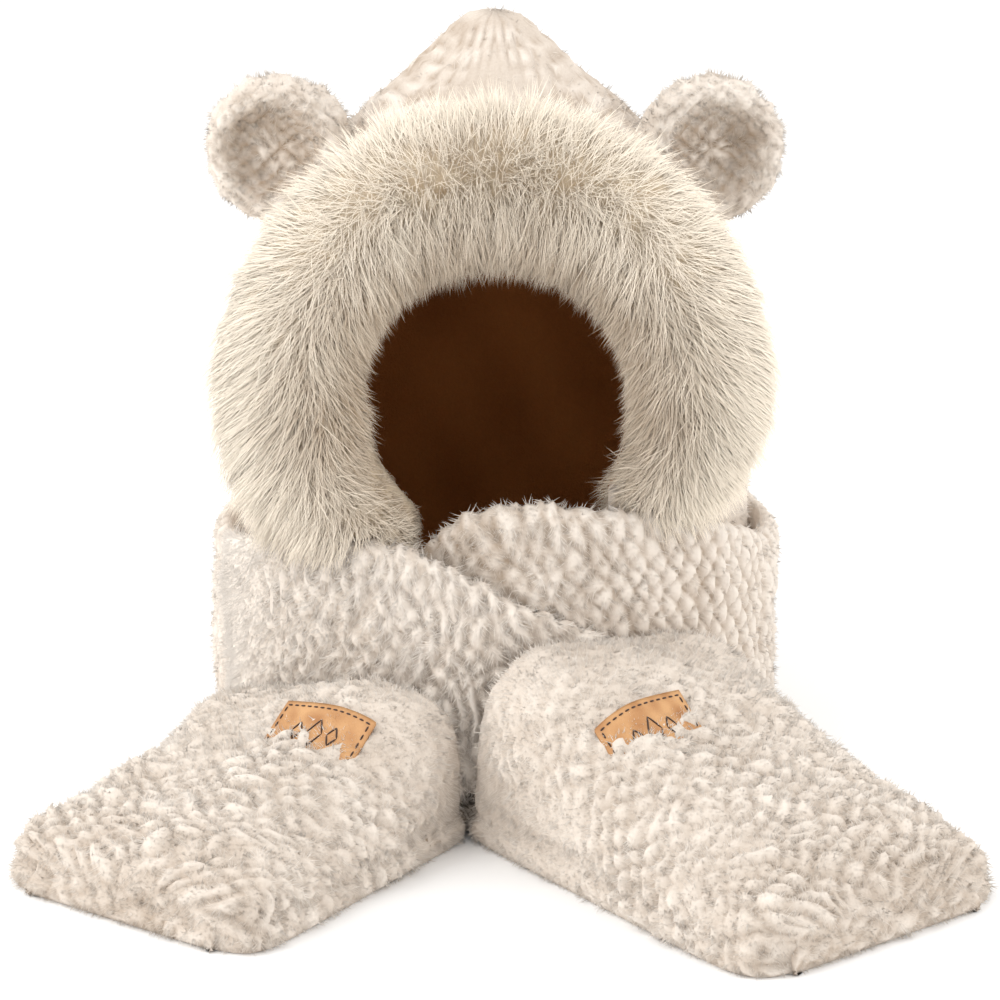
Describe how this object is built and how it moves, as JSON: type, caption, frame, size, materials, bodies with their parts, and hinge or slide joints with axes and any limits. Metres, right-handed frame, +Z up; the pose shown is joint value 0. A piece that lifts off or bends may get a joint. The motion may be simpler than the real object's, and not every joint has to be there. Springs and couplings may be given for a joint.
{
  "type": "animal hood scarf",
  "caption": "Plush animal-ear hood with a fur-trimmed face opening and an attached padded scarf that crosses in front and ends in hand pockets.",
  "frame": {"origin": "on the floor, under the middle of the whole object", "axes": "+Z up; the face opening and both hand pockets point towards -Y; +X is the viewer's right when looking into the opening"},
  "size_m": [0.5226, 0.5014, 0.42],
  "materials": {
    "plush": "knitted plush with clumped pile",
    "long_fur": "long straight faux fur",
    "lining": "matt fleece",
    "leather": "matt, stitched"
  },
  "bodies": {
    "root": {"hood_shell": "plush", "hood_lining": "lining", "fur_trim": "long_fur", "ear_left": "plush", "ear_right": "plush", "scarf_neck": "plush", "scarf_over": "plush", "scarf_under": "plush", "pocket_left": "plush", "pocket_right": "plush", "label_left": "leather", "label_right": "leather"}
  },
  "joints": []
}
